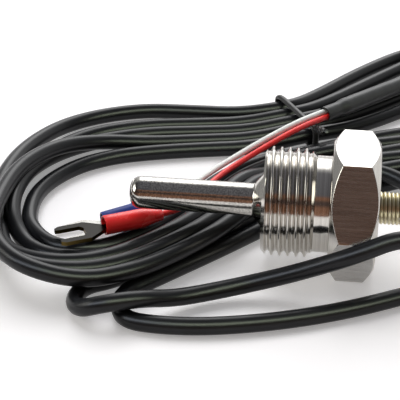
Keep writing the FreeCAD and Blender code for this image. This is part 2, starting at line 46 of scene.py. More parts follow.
# %% [markdown]
# The camera stands a little to the right of the sensor and looks down on it by thirty degrees. Its place
# could be set by eye. Here it comes from a fit of known circles and edges to the picture: an angle up, an
# angle round, a small roll, a distance and a long lens. Three unit vectors (right, up and back) then make
# the camera's matrix.

# %% camera
ELEVATION, AZIMUTH, ROLL = np.radians([30.17, 5.10, 1.205])
DISTANCE = 280.0
TARGET = np.array([-19.867, 0.0, 11.142])
SENSOR_WIDTH, LENS, NEAREST_SEEN = 36.0, 137.1, 10.0
back = np.array([
    np.sin(AZIMUTH) * np.cos(ELEVATION), -np.cos(AZIMUTH) * np.cos(ELEVATION), np.sin(ELEVATION)])
level_right = np.cross([0.0, 0.0, 1.0], back)
level_right /= np.linalg.norm(level_right)
level_up = np.cross(back, level_right)
rolled_right = np.cos(ROLL) * level_right + np.sin(ROLL) * level_up
rolled_up = np.cos(ROLL) * level_up - np.sin(ROLL) * level_right

scene = bpy.context.scene
camera = bpy.data.objects.new("camera", bpy.data.cameras.new("camera"))
scene.collection.objects.link(camera)
camera_place = np.eye(4)
camera_place[:3, :3] = np.column_stack([rolled_right, rolled_up, back])
camera_place[:3, 3] = (TARGET + DISTANCE * back) * MM
camera.matrix_world = Matrix(camera_place.tolist())
camera.data.sensor_width = SENSOR_WIDTH
camera.data.lens = LENS
camera.data.clip_start = NEAREST_SEEN * MM
scene.camera = camera
scene.view_settings.view_transform = "Standard"
print("camera at", camera_place[:3, 3].round(4))

# %% [markdown]
# Materials are small trees of nodes. One helper fills in a node's inputs, each with a plain value or with
# a link, and another adds a node, sets its own properties and fills in its inputs. Colours are written as
# on a paint card, in sRGB hex, and one function turns them into the linear values that light is worked
# out with.

# %% material helpers
def linear(paint):
    """sRGB hex to linear: v / 12.92 up to 0.04045, else ((v + 0.055) / 1.055) to the power 2.4."""
    value = np.array([int(paint[i:i + 2], 16) for i in (1, 3, 5)]) / 255.0
    low = value / 12.92
    high = ((value + 0.055) / 1.055) ** 2.4
    return (*np.where(value <= 0.04045, low, high).tolist(), 1.0)


def plug(tree, node, inputs):
    """Fills in a node's inputs: each gets a plain value, or a link from another node's output."""
    for name, value in inputs.items():
        if isinstance(value, bpy.types.NodeSocket):
            tree.links.new(value, node.inputs[name])
        else:
            node.inputs[name].default_value = value


def add(tree, kind, inputs=None, **settings):
    """Adds a node of a kind, with its settings and its inputs."""
    made = tree.nodes.new(kind)
    for name, value in settings.items():
        setattr(made, name, value)
    plug(tree, made, inputs or {})
    return made


def start_material(name):
    """An empty tree with its output and a Principled shader, for the finishes below to fill in."""
    material = bpy.data.materials.new(name)
    material.use_nodes = True
    tree = material.node_tree
    tree.nodes.clear()
    shader = add(tree, "ShaderNodeBsdfPrincipled")
    add(tree, "ShaderNodeOutputMaterial", {"Surface": shader.outputs["BSDF"]})
    return material, tree, shader


print("cable black in linear light:", [round(v, 4) for v in linear("#1c1d20")])

# %% [markdown]
# Four kinds of node come up again and again: a noise, a mix of two colours, a step of arithmetic and a
# change of range. Each gets a short function that returns the node's output, so that one can go straight
# into the next. The Mix node has sockets of every kind under the same names, so they are picked by number,
# and those numbers get names here.

# %% nodes that come up again
FACTOR, NUMBER_A, NUMBER_B, COLOUR_A, COLOUR_B = 0, 2, 3, 6, 7
NUMBER_OUT, COLOUR_OUT = 0, 2


def noise(tree, place, grain, detail):
    """A value between 0 and 1 that changes over about the grain's size in millimetres."""
    return add(tree, "ShaderNodeTexNoise", {
        "Vector": place, "Scale": 1.0 / (grain * MM), "Detail": detail}).outputs["Fac"]


def blend(tree, factor, first, second, blend_type="MIX"):
    """Two colours mixed by a factor: 0 is the first alone."""
    return add(tree, "ShaderNodeMix", {FACTOR: factor, COLOUR_A: first, COLOUR_B: second},
               data_type="RGBA", blend_type=blend_type).outputs[COLOUR_OUT]


def work_out(tree, operation, *values):
    """One step of arithmetic on one, two or three values."""
    return add(tree, "ShaderNodeMath", dict(enumerate(values)), operation=operation).outputs["Value"]


def rescale(tree, value, low=0.0, high=1.0, to_low=0.0, to_high=1.0):
    """Maps low to to_low and high to to_high, straight in between and held outside."""
    return add(tree, "ShaderNodeMapRange", {
        "Value": value, "From Min": low, "From Max": high,
        "To Min": to_low, "To Max": to_high}).outputs["Result"]


print("node helpers:", [helper.__name__ for helper in (noise, blend, work_out, rescale)])

# %% [markdown]
# The cable's sheath is soft PVC, extruded warm. Handling leaves a slight haze on it, so the black is
# uneven and its gloss changes over a few millimetres. A plain black would do for a cable far away. Here
# one slow noise drives colour and gloss together, and a fine one gives the skin. Object coordinates are
# enough, because the pattern has no direction that the eye could follow.

# %% extruded PVC and insulation
SKIN_GRAIN, SKIN_RELIEF = 0.35, 0.02
PLASTIC_IOR = 1.53


def extruded_plastic(name, dark, light, roughness, haze_mm, gloss_change, bump, shine=0.5):
    """Soft extruded plastic: colour and roughness follow a slow noise, and a fine noise gives the skin."""
    material, tree, shader = start_material(name)
    place = add(tree, "ShaderNodeTexCoord").outputs["Object"]
    haze = noise(tree, place, haze_mm, 3.0)
    skin = noise(tree, place, SKIN_GRAIN, 2.0)
    relief = add(tree, "ShaderNodeBump", {"Height": skin, "Strength": bump, "Distance": SKIN_RELIEF * MM})
    plug(tree, shader, {
        "Base Color": blend(tree, haze, linear(dark), linear(light)),
        "Roughness": rescale(tree, haze, to_low=roughness - gloss_change, to_high=roughness + gloss_change),
        "Normal": relief.outputs["Normal"], "IOR": PLASTIC_IOR, "Specular IOR Level": shine})
    return material


black_pvc = extruded_plastic("black_extruded_PVC", "#101114", "#1c1d20", 0.31, 6.0, 0.05, 0.25, shine=0.22)
white_insulation = extruded_plastic("white_extruded_insulation", "#d6dad6", "#e8ebe8", 0.42, 3.0, 0.05, 0.2)
red_insulation = extruded_plastic("red_extruded_insulation", "#d4201f", "#ee332e", 0.4, 3.0, 0.05, 0.2)
shrink_black = extruded_plastic("black_shrunk_polyolefin", "#0c0d10", "#16181b", 0.42, 4.0, 0.06, 0.5)
print("plastics made")

# %% [markdown]
# The cable is one fixed length, so it is one curve: a NURBS spline that follows listed control points,
# with a round bevel for its thickness. It leaves the spring, makes a loop on the table, passes in front
# of the hexagon, folds back under the hank, makes a second loop beneath the spring and comes forward once
# more.

# %% cable route up to the hank
CABLE = 3.2
CABLE_LEAD = np.array([
    (32.8, 0.0, 12.0), (40.6, 0.0, 12.0), (49.0, 1.6, 9.6), (55.9, 0.2, 6.2), (60.6, -4.6, 3.2),
    (62.3, -11.4, 1.75), (60.0, -18.0, 1.75), (54.2, -22.0, 2.6), (45.5, -22.6, 5.0),
    (35.6, -19.2, 9.6), (26.2, -15.4, 14.0), (17.2, -14.2, 15.0), (8.8, -16.4, 11.7),
    (2.8, -15.3, 8.3), (-3.2, -14.8, 5.5), (-9.8, -14.9, 3.2), (-16.8, -17.3, 2.4),
    (-22.5, -20.6, 2.9), (-27.6, -24.4, 5.0), (-33.8, -27.2, 5.2), (-38.0, -26.0, 3.0),
    (-39.8, -22.2, 1.7), (-39.5, -18.6, 1.65), (-37.8, -16.2, 1.65), (-35.0, -14.8, 1.65),
    (-30.4, -11.0, 1.65), (-25.3, -5.9, 1.65), (-19.6, 0.0, 1.65), (-13.4, 7.0, 1.65),
    (-7.2, 14.2, 1.65), (-0.6, 20.8, 2.2), (6.0, 25.6, 4.95), (13.0, 27.0, 4.95),
    (19.4, 24.2, 3.8), (24.8, 19.2, 2.0), (29.2, 12.8, 1.65), (31.0, 4.8, 1.65),
    (28.8, -3.2, 1.65), (23.8, -9.2, 1.65), (16.9, -13.5, 1.65), (8.5, -18.3, 1.65),
    (-0.1, -22.1, 1.65), (-8.6, -24.9, 1.65), (-17.1, -26.8, 1.65), (-24.4, -27.2, 1.65),
    (-30.2, -26.4, 1.65), (-31.9, -22.0, 1.65), (-31.3, -17.6, 1.65), (-28.0, -14.4, 1.65),
    (-22.8, -8.8, 1.65), (-17.0, -2.6, 1.65), (-10.8, 4.4, 1.65), (-4.6, 11.6, 1.65),
    (2.0, 18.2, 1.65), (9.0, 23.6, 1.65), (16.2, 28.2, 1.65), (22.4, 32.0, 1.65), (27.3, 35.8, 1.65),
])
print("lead:", len(CABLE_LEAD), "control points")

# %% [markdown]
# The hank is five turns of the same cable. Stations round the ring give its middle line (x and y), its
# half spread and how far its outer and inner parts are lifted where it lies on the lead. A turn's rank
# says where it lies across the ring, 0 outermost and 4 innermost, and a turn may change rank at the left
# end and at the right end. Where the ring is too narrow for five cables side by side, every second one is
# nested higher.

# %% stations of the hank
HANK_STATIONS = np.array([
    (-4.0, 50.2, 6.5, 1.3, 1.3), (-14.0, 46.2, 7.8, 0.0, 0.0), (-24.5, 44.0, 8.6, 0.0, 0.0),
    (-35.4, 42.0, 9.4, 0.0, 0.0), (-45.6, 37.2, 8.6, 0.0, 0.0), (-53.0, 28.4, 5.9, 0.0, 0.0),
    (-57.3, 16.6, 3.7, 0.0, 0.0), (-57.4, 3.6, 3.5, 0.0, 0.0), (-54.8, -8.6, 4.8, 1.9, 0.0),
    (-48.6, -15.2, 6.2, 3.9, 0.0), (-40.8, -15.2, 6.4, 3.9, 0.0), (-34.0, -11.2, 6.5, 3.6, 0.0),
    (-28.1, -4.9, 6.5, 3.4, 0.0), (-22.2, 2.5, 6.5, 3.4, 0.0), (-17.1, 11.4, 6.4, 3.4, 0.0),
    (-13.4, 21.3, 6.4, 3.4, 0.0), (-6.8, 28.6, 6.2, 0.0, 0.0), (1.8, 33.4, 5.8, 0.0, 0.0),
    (10.1, 38.2, 6.2, 0.0, 0.0), (18.8, 42.6, 6.4, 0.0, 0.0), (30.0, 47.5, 6.4, 0.0, 0.0),
    (40.0, 54.5, 6.4, 0.0, 0.0), (47.3, 64.0, 6.4, 0.0, 0.0), (49.8, 75.0, 6.4, 0.0, 0.0),
    (46.3, 85.5, 6.4, 0.0, 0.0), (38.0, 91.3, 6.8, 0.0, 0.0), (28.0, 87.0, 8.2, 0.0, 0.0),
    (18.0, 73.8, 9.8, 0.0, 0.0), (3.5, 56.2, 7.4, 0.6, 0.6),
])
middle = HANK_STATIONS[:, :2]
spread, outer_lift, inner_lift = HANK_STATIONS[:, 2:].T
step = np.arange(len(HANK_STATIONS))
heading = np.roll(middle, -1, axis=0) - np.roll(middle, 1, axis=0)
heading /= np.linalg.norm(heading, axis=1)[:, None]
outward = np.column_stack([heading[:, 1], -heading[:, 0]])
nest_height = np.sqrt(CABLE ** 2 - np.minimum(spread / 2.0, CABLE) ** 2)
print("hank:", len(HANK_STATIONS), "stations, nested by up to", round(float(nest_height.max()), 2), "mm")

# %% [markdown]
# The lead goes in under the right end of the ring, from the outside to the inside, and the turns ride
# over it. A turn is worked out at all stations at once: its rank gives its share of the half spread, and
# that gives its place and its height. At the left end the second turn crosses on top of the three beside
# it.

# %% a turn of the hank
TABLE_GAP = 0.05
RESTING = CABLE / 2.0 + TABLE_GAP
LEFT_END, RIGHT_END, CHANGE_OVER = 4, 20, 6.0
LEAD_OUTSIDE, LEAD_INSIDE = 1.35, -1.0
LIFT_FROM, LIFT_FULL = -0.55, 0.05
RIDE_REACH, RIDE_RISE = 1.35 * CABLE, 1.02 * CABLE
CROSSING = np.interp(step, [3, 4, 5, 6, 7, 8, 9, 10], [0.0, 1.9, 4.1, 5.2, 5.7, 4.6, 2.2, 0.0])


def ease(t):
    """3 t squared minus 2 t cubed, held at 0 before and at 1 after."""
    t = np.clip(t, 0.0, 1.0)
    return t * t * (3.0 - 2.0 * t)


def across_ring(share, height):
    """Points at a share of the half spread outward from the middle line, at their heights."""
    return np.column_stack([middle + outward * (spread * share)[:, None], height])


past_left = ease((step - LEFT_END) / CHANGE_OVER)
past_right = ease((step - RIGHT_END) / CHANGE_OVER)
lead_share = LEAD_OUTSIDE - (LEAD_OUTSIDE - LEAD_INSIDE) * past_right


def lay_turn(far, near, following):
    """One turn: its rank runs from far to near at the left end, and on to the next turn's at the right."""
    rank = far + (near - far) * past_left + (following - near) * past_right
    share = 1.0 - rank / 2.0
    lifted = np.clip((share - LIFT_FROM) / (LIFT_FULL - LIFT_FROM), 0.0, 1.0)
    height = RESTING + inner_lift + (outer_lift - inner_lift) * lifted
    height = height + (CROSSING if near == 0 else nest_height * (near % 2))
    beside = np.clip((share - lead_share) * spread / RIDE_REACH, -1.0, 1.0)
    ride = RIDE_RISE * (0.5 + 0.5 * np.cos(np.pi * beside)) * (step >= RIGHT_END)
    return across_ring(share, height + ride)


print("a turn has", len(lay_turn(4, 4, 3)), "control points")

# %% [markdown]
# Five perfect turns would look machine-wound. So after they are laid, those at the left end are moved a
# little, one by one, as the real ones have slipped. The last turn leaves the right end on top of the others
# and runs straight into the shrink sleeve.

# %% the whole cable
TURNS = [(4, 4, 3), (3, 0, 0), (0, 1, 1), (1, 2, 2), (2, 3, 3)]
TAIL_LEAVES = 25
TAIL_START = np.array([26.5, 75.2, 4.95])
SLEEVE_MOUTH, SLEEVE_REACH = np.array([1.9, 46.3, 6.9]), 6.0
lead_in = across_ring(lead_share, np.full(len(step), RESTING))[RIGHT_END:]
laid = [lay_turn(*turn) for turn in TURNS]
# At the near left end the two innermost cables fan out on the table, away from those that are lifted.
laid[0][7:13] = [(-53.4, 5.2, 1.65), (-51.1, 0.2, 1.65), (-47.0, -4.1, 1.65), (-42.2, -4.6, 1.65),
                 (-37.6, -3.6, 1.65), (-33.4, -0.3, 1.65)]
laid[4][8:13] = [(-53.0, -3.2, 1.9), (-48.4, -7.2, 1.7), (-42.4, -8.0, 1.65), (-36.4, -6.6, 1.65),
                 (-31.4, -3.0, 1.75)]
# At the far left the outermost cable stands off, with a gap between it and the next one.
laid[2][1:6, :2] += outward[1:6] * np.array([[0.7], [1.6], [2.4], [2.2], [1.0]])
laid[3][2:5, :2] -= outward[2:5] * np.array([[0.3], [0.7], [0.4]])
# There the three innermost cables lie closer together than the stations would have them.
for turn, moved in ((4, 0.4), (1, 0.9), (0, 1.5)):
    laid[turn][1:6, :2] += outward[1:6] * moved * np.array([[0.5], [1.0], [1.0], [0.9], [0.4]])
laid[-1] = laid[-1][:TAIL_LEAVES]
tail_way = (SLEEVE_MOUTH - TAIL_START) / np.linalg.norm(SLEEVE_MOUTH - TAIL_START)
jacket_end = SLEEVE_MOUTH - SLEEVE_REACH * tail_way
tail = np.array([(38.2, 87.4, 4.2), (31.4, 82.6, 4.9), TAIL_START, TAIL_START + 8.0 * tail_way,
                 TAIL_START + 20.0 * tail_way, jacket_end])
cable_points = np.concatenate([CABLE_LEAD, lead_in, *laid, tail])
print("cable:", len(cable_points), "control points")

# %% [markdown]
# A curve object carries the spline. Its order and its end rule are set after the points, because Blender
# lowers the order of a spline that is still too short for it. The same spline without a bevel gives the
# middle line of the finished cord, for measuring it and for laying other pieces along it.

# %% make the cable
SPLINE_STEPS, BEVEL_STEPS = 8, 5


def cord_curve(name, points, diameter, material):
    """A round cord: a third-order NURBS spline that starts and ends on its first and last points."""
    curve = bpy.data.curves.new(name, "CURVE")
    curve.dimensions = "3D"
    spline = curve.splines.new("NURBS")
    spline.points.add(len(points) - 1)
    spline.points.foreach_set("co", np.column_stack([points * MM, np.ones(len(points))]).ravel())
    spline.order_u = 3
    spline.use_endpoint_u = True
    spline.resolution_u = SPLINE_STEPS
    curve.bevel_resolution = BEVEL_STEPS
    curve.use_fill_caps = True
    curve.materials.append(material)
    piece = bpy.data.objects.new(name, curve)
    scene.collection.objects.link(piece)
    bpy.context.view_layer.update()
    line = bpy.data.meshes.new_from_object(piece)
    middle_line = np.empty(len(line.vertices) * 3)
    line.vertices.foreach_get("co", middle_line)
    bpy.data.meshes.remove(line)
    curve.bevel_depth = diameter / 2.0 * MM
    return piece, middle_line.reshape(-1, 3) / MM


def length_of(line):
    """The distances from each point of a line to the next, added up."""
    return float(np.linalg.norm(np.diff(line, axis=0), axis=1).sum())


cable, cable_line = cord_curve("black_cable", cable_points, CABLE, black_pvc)
print("cable:", round(length_of(cable_line)), "mm long")

# %% [markdown]
# Two thin insulated cores come out of the cable's end, one white and one red, and run side by side behind
# the stem to their terminals. They could be one twisted pair. The real ones lie apart, so each is a cord
# of its own, with its first point inside the sleeve and its last inside its terminal.

# %% the two cores
CORE = 1.2
WHITE_LEAD = np.array([
    (5.434, 51.187, 6.988), (0.903, 45.864, 7.347), (-3.6, 40.6, 7.6), (-9.4, 34.9, 6.5),
    (-15.1, 28.9, 5.2), (-19.7, 23.0, 4.5), (-23.2, 16.6, 4.4), (-25.315, 11.724, 4.018),
    (-32.336, 7.99, 3.138)])
RED_LEAD = np.array([
    (6.134, 50.538, 6.196), (1.603, 45.215, 6.556), (-3.0, 39.0, 7.2), (-8.7, 33.0, 6.2),
    (-14.1, 27.0, 5.0), (-18.4, 20.6, 4.6), (-20.8, 13.2, 4.9), (-23.907, 5.41, 5.338),
    (-31.051, 1.81, 5.258)])
white_core, white_line = cord_curve("white_core", WHITE_LEAD, CORE, white_insulation)
red_core, red_line = cord_curve("red_core", RED_LEAD, CORE, red_insulation)
print("cores:", round(length_of(white_line)), "and", round(length_of(red_line)), "mm long")

# %% [markdown]
# Every solid piece below is a surface on a grid: one parameter runs along it and one round it. One helper
# turns such grids into a mesh. It numbers the grid's points, makes a quad for every cell, welds points
# that coincide at seams, poles and where two grids meet, and lets Blender turn all faces outwards. Edges
# that turn by more than forty degrees stay sharp.

# %% surfaces on a grid
WELD = 0.0005
SHARP_FROM = np.radians(40.0)


def grid_faces(rows, columns, first):
    """Corner numbers of every cell: a point, the one in the next row, that one's neighbour and its own."""
    corner = np.arange((rows - 1) * columns).reshape(rows - 1, columns)[:, :-1].ravel() + first
    return np.stack([corner, corner + columns, corner + columns + 1, corner + 1], axis=-1)


def surface(name, grids, material):
    """One mesh from grids of points in millimetres, welded, facing outwards and shaded smooth."""
    points = np.concatenate([grid.reshape(-1, 3) for grid in grids]) * MM
    starts = np.cumsum([0] + [grid.shape[0] * grid.shape[1] for grid in grids])
    faces = np.concatenate([grid_faces(*grid.shape[:2], first) for grid, first in zip(grids, starts)])
    mesh = bpy.data.meshes.new(name)
    mesh.from_pydata(points, [], faces.tolist())
    shape = bmesh.new()
    shape.from_mesh(mesh)
    bmesh.ops.remove_doubles(shape, verts=shape.verts, dist=WELD * MM)
    bmesh.ops.dissolve_degenerate(shape, edges=shape.edges, dist=WELD * MM)
    bmesh.ops.recalc_face_normals(shape, faces=shape.faces)
    shape.to_mesh(mesh)
    shape.free()
    mesh.polygons.foreach_set("use_smooth", np.ones(len(mesh.polygons), dtype=bool))
    mesh.set_sharp_from_angle(angle=SHARP_FROM)
    mesh.materials.append(material)
    piece = bpy.data.objects.new(name, mesh)
    scene.collection.objects.link(piece)
    return piece


print("cells of a grid of 3 by 3 points:", len(grid_faces(3, 3, 0)))

# %% [markdown]
# Two kinds of grid make nearly all of this object. What came off a lathe is a profile turned about the
# sensor's axis. What was bent, such as wire, is a section carried along a path. Blender's Screw modifier
# and curve bevels could make them too, but as arrays their points can still be cut, tapered and welded.

# %% turned and carried grids
AXIS_HEIGHT = 12.0
ROUND_COLUMNS = 288
turn_angle = np.linspace(0.0, 2.0 * np.pi, ROUND_COLUMNS + 1)


def about_axis(x, radius):
    """A whole turn at x along the sensor's axis: y = radius cos a, z = axis height + radius sin a."""
    x, radius = np.broadcast_arrays(x, radius * np.ones_like(turn_angle))
    return np.stack([x, radius * np.cos(turn_angle), AXIS_HEIGHT + radius * np.sin(turn_angle)], axis=-1)


def turned(profile):
    """A profile of (x, radius) rows turned about the sensor's axis."""
    x, radius = np.array(profile, dtype=float).T
    return about_axis(x[:, None], radius[:, None])


def carried(path, side, section, size=1.0):
    """A section along a path: point + size * (side * first + (way x side) * second), side square to way."""
    way = np.gradient(path, axis=0)
    way /= np.linalg.norm(way, axis=1)[:, None]
    side = side - way * np.sum(side * way, axis=1)[:, None]
    side /= np.linalg.norm(side, axis=1)[:, None]
    over = np.cross(way, side)
    reach = side[:, None] * section[None, :, :1] + over[:, None] * section[None, :, 1:]
    return path[:, None] + np.reshape(size, (-1, 1, 1)) * reach


def round_section(count, wide=1.0, high=1.0):
    """An ellipse: (wide cos a, high sin a) for a whole turn."""
    angle = np.linspace(0.0, 2.0 * np.pi, count + 1)
    return np.column_stack([wide * np.cos(angle), high * np.sin(angle)])


print("grids of", ROUND_COLUMNS, "columns about the axis at", AXIS_HEIGHT, "mm")

# %% [markdown]
# Steel is bare here, so its look is nearly all reflection. The lathe leaves rings round the axis: a noise
# that reads only the place along the axis and the distance from it. The flats of the hexagon keep
# straight lines from the bar's grinding: a noise whose coordinates are squeezed along the axis, so that
# it is stretched. A mesh attribute says which of the two finishes a point has. The drawn stem has fine
# pits as well.

# %% turned and ground steel
# Grinding lines are a few hundredths of a millimetre wide; they are drawn at 0.13 mm so that they show.
GROUND_LINE, GROUND_SQUEEZE, GROUND_TINT = 0.13, 0.012, "#eceef2"
LINE_RELIEF, LINE_WEAR, LINE_CONTRAST = 0.01, 0.1, (0.32, 0.68)
PIT_GRAIN, PIT_RELIEF, PIT_SHADE, PIT_CONTRAST = 0.3, 0.02, 0.6, (0.4, 0.6)


def bare_steel(name, dark, light, roughness, line_mm, bump, ground_share=0.0, pitting=0.0):
    """Bare steel: lines round the axis, or along it where the attribute ground is 1, and fine pits."""
    material, tree, shader = start_material(name)
    place = add(tree, "ShaderNodeTexCoord").outputs["Object"]
    centred = add(tree, "ShaderNodeMapping", {
        "Vector": place, "Location": (0.0, 0.0, -AXIS_HEIGHT * MM)}).outputs["Vector"]
    parts = add(tree, "ShaderNodeSeparateXYZ", {"Vector": centred}).outputs
    flat_pair = add(tree, "ShaderNodeCombineXYZ", {"Y": parts["Y"], "Z": parts["Z"]})
    radius = add(tree, "ShaderNodeVectorMath", {0: flat_pair.outputs["Vector"]}, operation="LENGTH")
    ring_place = add(tree, "ShaderNodeCombineXYZ", {"X": parts["X"], "Y": radius.outputs["Value"]})
    lathe = noise(tree, ring_place.outputs["Vector"], line_mm, 4.0)
    squeezed = add(tree, "ShaderNodeMapping", {"Vector": centred, "Scale": (GROUND_SQUEEZE, 1.0, 1.0)})
    ground = noise(tree, squeezed.outputs["Vector"], GROUND_LINE, 3.0)
    which = add(tree, "ShaderNodeAttribute", attribute_name="ground").outputs["Fac"]
    lines = add(tree, "ShaderNodeMix", {
        FACTOR: which, NUMBER_A: lathe, NUMBER_B: ground}, data_type="FLOAT").outputs[NUMBER_OUT]
    shade = blend(tree, rescale(tree, lines, *LINE_CONTRAST), linear(dark), linear(light))
    dulled = blend(tree, which, shade, linear(GROUND_TINT), "MULTIPLY")
    speckle = noise(tree, place, PIT_GRAIN, 2.0)
    pit_shade = rescale(tree, speckle, *PIT_CONTRAST, to_low=1.0 - PIT_SHADE * pitting)
    gloss = rescale(tree, which, to_low=roughness, to_high=roughness + ground_share)
    pits = add(tree, "ShaderNodeBump", {
        "Height": speckle, "Strength": pitting, "Distance": PIT_RELIEF * MM})
    relief = add(tree, "ShaderNodeBump", {
        "Height": lines, "Strength": bump, "Distance": LINE_RELIEF * MM, "Normal": pits.outputs["Normal"]})
    plug(tree, shader, {
        "Base Color": blend(tree, 1.0, dulled, pit_shade, "MULTIPLY"),
        "Roughness": work_out(tree, "MULTIPLY_ADD", lines, LINE_WEAR, gloss),
        "Normal": relief.outputs["Normal"], "Metallic": 1.0})
    return material


turned_steel = bare_steel(
    "turned_stainless_steel", "#b4b0aa", "#dad7d1", 0.08, 0.09, 0.25, ground_share=0.14)
drawn_steel = bare_steel("polished_drawn_steel", "#bfbcb6", "#d6d3cd", 0.08, 0.12, 0.12, pitting=0.6)
spring_steel = bare_steel("bright_spring_wire", "#c8bd96", "#e8e0c2", 0.26, 0.15, 0.2)
print("steels made")

# %% [markdown]
# The hexagon is the bar that the fitting was turned from. In any direction its surface lies half the size
# across flats over the cosine of the angle from the flat's middle, and a small arc rounds each corner. The
# lathe then cut a cone off both ends, so the radius is the smaller of the two, with a soft minimum for
# the broken edge. A boolean of a prism and two cones would do the same, with less even faces.

# %% hexagon
SEAT, REAR = 4.0, 12.5
FLATS, CORNER_ROUNDING = 24.0, 0.2
CHAMFER_CIRCLE, CHAMFER_SETBACK = 23.3, 1.75
BROKEN_EDGE = 0.12
CHAMFER_ROWS = np.concatenate([[0.0, 0.04, 0.08], np.linspace(0.12, 1.9, 30)])
PLAIN_FROM = 2.2


def hexagon_radius(angle):
    """Half the flats over cos(p), p from the flat's middle; near a corner, a circle of the rounding."""
    half = FLATS / 2.0
    from_flat = np.abs((angle - np.pi / 2.0 + np.pi / 6.0) % (np.pi / 3.0) - np.pi / 6.0)
    centre = (half - CORNER_ROUNDING) / np.cos(np.pi / 6.0)
    from_corner = np.pi / 6.0 - from_flat
    inside = np.maximum(CORNER_ROUNDING ** 2 - (centre * np.sin(from_corner)) ** 2, 0.0)
    arc = centre * np.cos(from_corner) + np.sqrt(inside)
    on_flat = np.tan(from_flat) * half <= (half - CORNER_ROUNDING) * np.tan(np.pi / 6.0)
    return np.where(on_flat, half / np.cos(from_flat), arc)


def soft_minimum(a, b, width):
    """The smaller of two, less a quarter of the width where they are equal, with no sharp change."""
    overlap = np.maximum(width - np.abs(a - b), 0.0) / width
    return np.minimum(a, b) - overlap * overlap * width * 0.25


def hexagon_grid():
    """Rows along the axis from the rear face to the seat; the radius is that of hexagon or cone."""
    cone_rise = (FLATS / np.sqrt(3.0) - CHAMFER_CIRCLE / 2.0) / CHAMFER_SETBACK
    length = REAR - SEAT
    plain_rows = np.linspace(PLAIN_FROM, length - PLAIN_FROM, 6)
    from_rear = np.concatenate([CHAMFER_ROWS, plain_rows, (length - CHAMFER_ROWS)[::-1]])
    from_end = np.minimum(from_rear, length - from_rear)
    cone = (CHAMFER_CIRCLE / 2.0 + cone_rise * from_end)[:, None]
    radius = soft_minimum(hexagon_radius(turn_angle)[None, :], cone, BROKEN_EDGE)
    return about_axis((REAR - from_rear)[:, None], radius)


print("hexagon rows:", hexagon_grid().shape)

# %% [markdown]
# The thread is a groove cut on a helix. It could be a row of rings, as in the solids, but the slant of a
# real thread shows. So the profile of one pitch is carried along the helix: x grows by the pitch in each
# turn. At both ends a cone limits the radius, and points past an end are pulled back onto it, where they
# weld into a ring.

# %% thread
PITCH, THREAD_RADIUS, THREAD_DEPTH = 1.5, 10.0, 0.9
THREAD_FRONT, THREAD_REAR, UNDERCUT_RADIUS = -8.2, 1.2, 8.85
ROOT_RADIUS = THREAD_RADIUS - THREAD_DEPTH
CREST_HALF, FLANK = 0.05, 0.4
TOWARDS_CAMERA = np.radians(150.0)
CREST_AT = 1.0


def thread_grid():
    """Rows along the helix, columns across one pitch: the radius falls from blunt crest to rounded root."""
    share = np.linspace(0.0, 1.0, 25)
    fall = ease((np.abs(share - 0.5) - CREST_HALF) / FLANK)
    turns = int(np.ceil((THREAD_REAR - THREAD_FRONT) / PITCH)) + 2
    number = np.arange(-turns * ROUND_COLUMNS, 2 * ROUND_COLUMNS + 1)
    angle = number * 2.0 * np.pi / ROUND_COLUMNS
    x = CREST_AT + PITCH * ((angle - TOWARDS_CAMERA) / (2.0 * np.pi))[:, None] + PITCH * (share - 0.5)
    x = np.clip(x, THREAD_FRONT, THREAD_REAR)
    radius = THREAD_RADIUS - THREAD_DEPTH * np.broadcast_to(fall, x.shape)
    radius = np.minimum(radius, ROOT_RADIUS + (x - THREAD_FRONT))
    radius = np.minimum(radius, UNDERCUT_RADIUS + (THREAD_REAR - x))
    y = radius * np.cos(angle)[:, None]
    z = AXIS_HEIGHT + radius * np.sin(angle)[:, None]
    return np.stack([x, y, z], axis=-1)


print("thread rows:", thread_grid().shape)

# %% [markdown]
# The fitting joins these two grids with plain turned rows: the socket for the spring, the rear face, the
# undercut, the front face, the collar round the stem and the bore. All of them share the same columns, so
# the grids weld into one closed skin. The attribute ground is 1 only on the flats.

# %% process fitting
SOCKET_FLOOR, SOCKET_RADIUS = 7.5, 3.1
SHEATH_END, STEM_HOLE, STEM_BORE = 3.0, 3.02, 2.5
FLAT_MARGIN = 0.01
BEHIND = [(SOCKET_FLOOR, STEM_BORE), (SOCKET_FLOOR, SOCKET_RADIUS), (REAR - 0.4, SOCKET_RADIUS),
          (REAR, 3.4), (REAR, 7.0), (REAR, CHAMFER_CIRCLE / 2.0)]
BETWEEN = [(SEAT, CHAMFER_CIRCLE / 2.0), (SEAT, 9.15), (SEAT - 0.1, 8.92), (SEAT - 0.3, UNDERCUT_RADIUS),
           (2.4, UNDERCUT_RADIUS), (THREAD_REAR, UNDERCUT_RADIUS)]
COLLAR = [(0.0, 5.1), (-0.1, 5.02), (-0.3, 4.82), (-0.8, 4.26), (-1.25, 3.74), (-1.5, 3.42), (-1.65, 3.2),
          (-1.78, 3.08), (-1.95, STEM_HOLE)]
IN_FRONT = [(THREAD_FRONT, ROOT_RADIUS), (THREAD_FRONT, 6.2),
            *[(THREAD_FRONT + reach, radius) for reach, radius in COLLAR],
            (SHEATH_END, STEM_HOLE), (SHEATH_END, STEM_BORE), (SOCKET_FLOOR, STEM_BORE)]
fitting = surface("turned_fitting", [
    turned(BEHIND), hexagon_grid(), turned(BETWEEN), thread_grid(), turned(IN_FRONT)], turned_steel)
places = np.empty(len(fitting.data.vertices) * 3)
fitting.data.vertices.foreach_get("co", places)
places = places.reshape(-1, 3) / MM - [0.0, 0.0, AXIS_HEIGHT]
flat_ways = np.radians([90.0, 30.0, -30.0])
flat_distance = np.abs(places[:, 1:] @ np.array([np.cos(flat_ways), np.sin(flat_ways)])).max(axis=1)
on_flats = (flat_distance > FLATS / 2.0 - FLAT_MARGIN).astype(np.float32)
fitting.data.attributes.new("ground", "FLOAT", "POINT").data.foreach_set("value", on_flats)
print("fitting:", len(fitting.data.polygons), "faces,", int(on_flats.sum()), "points on its flats")

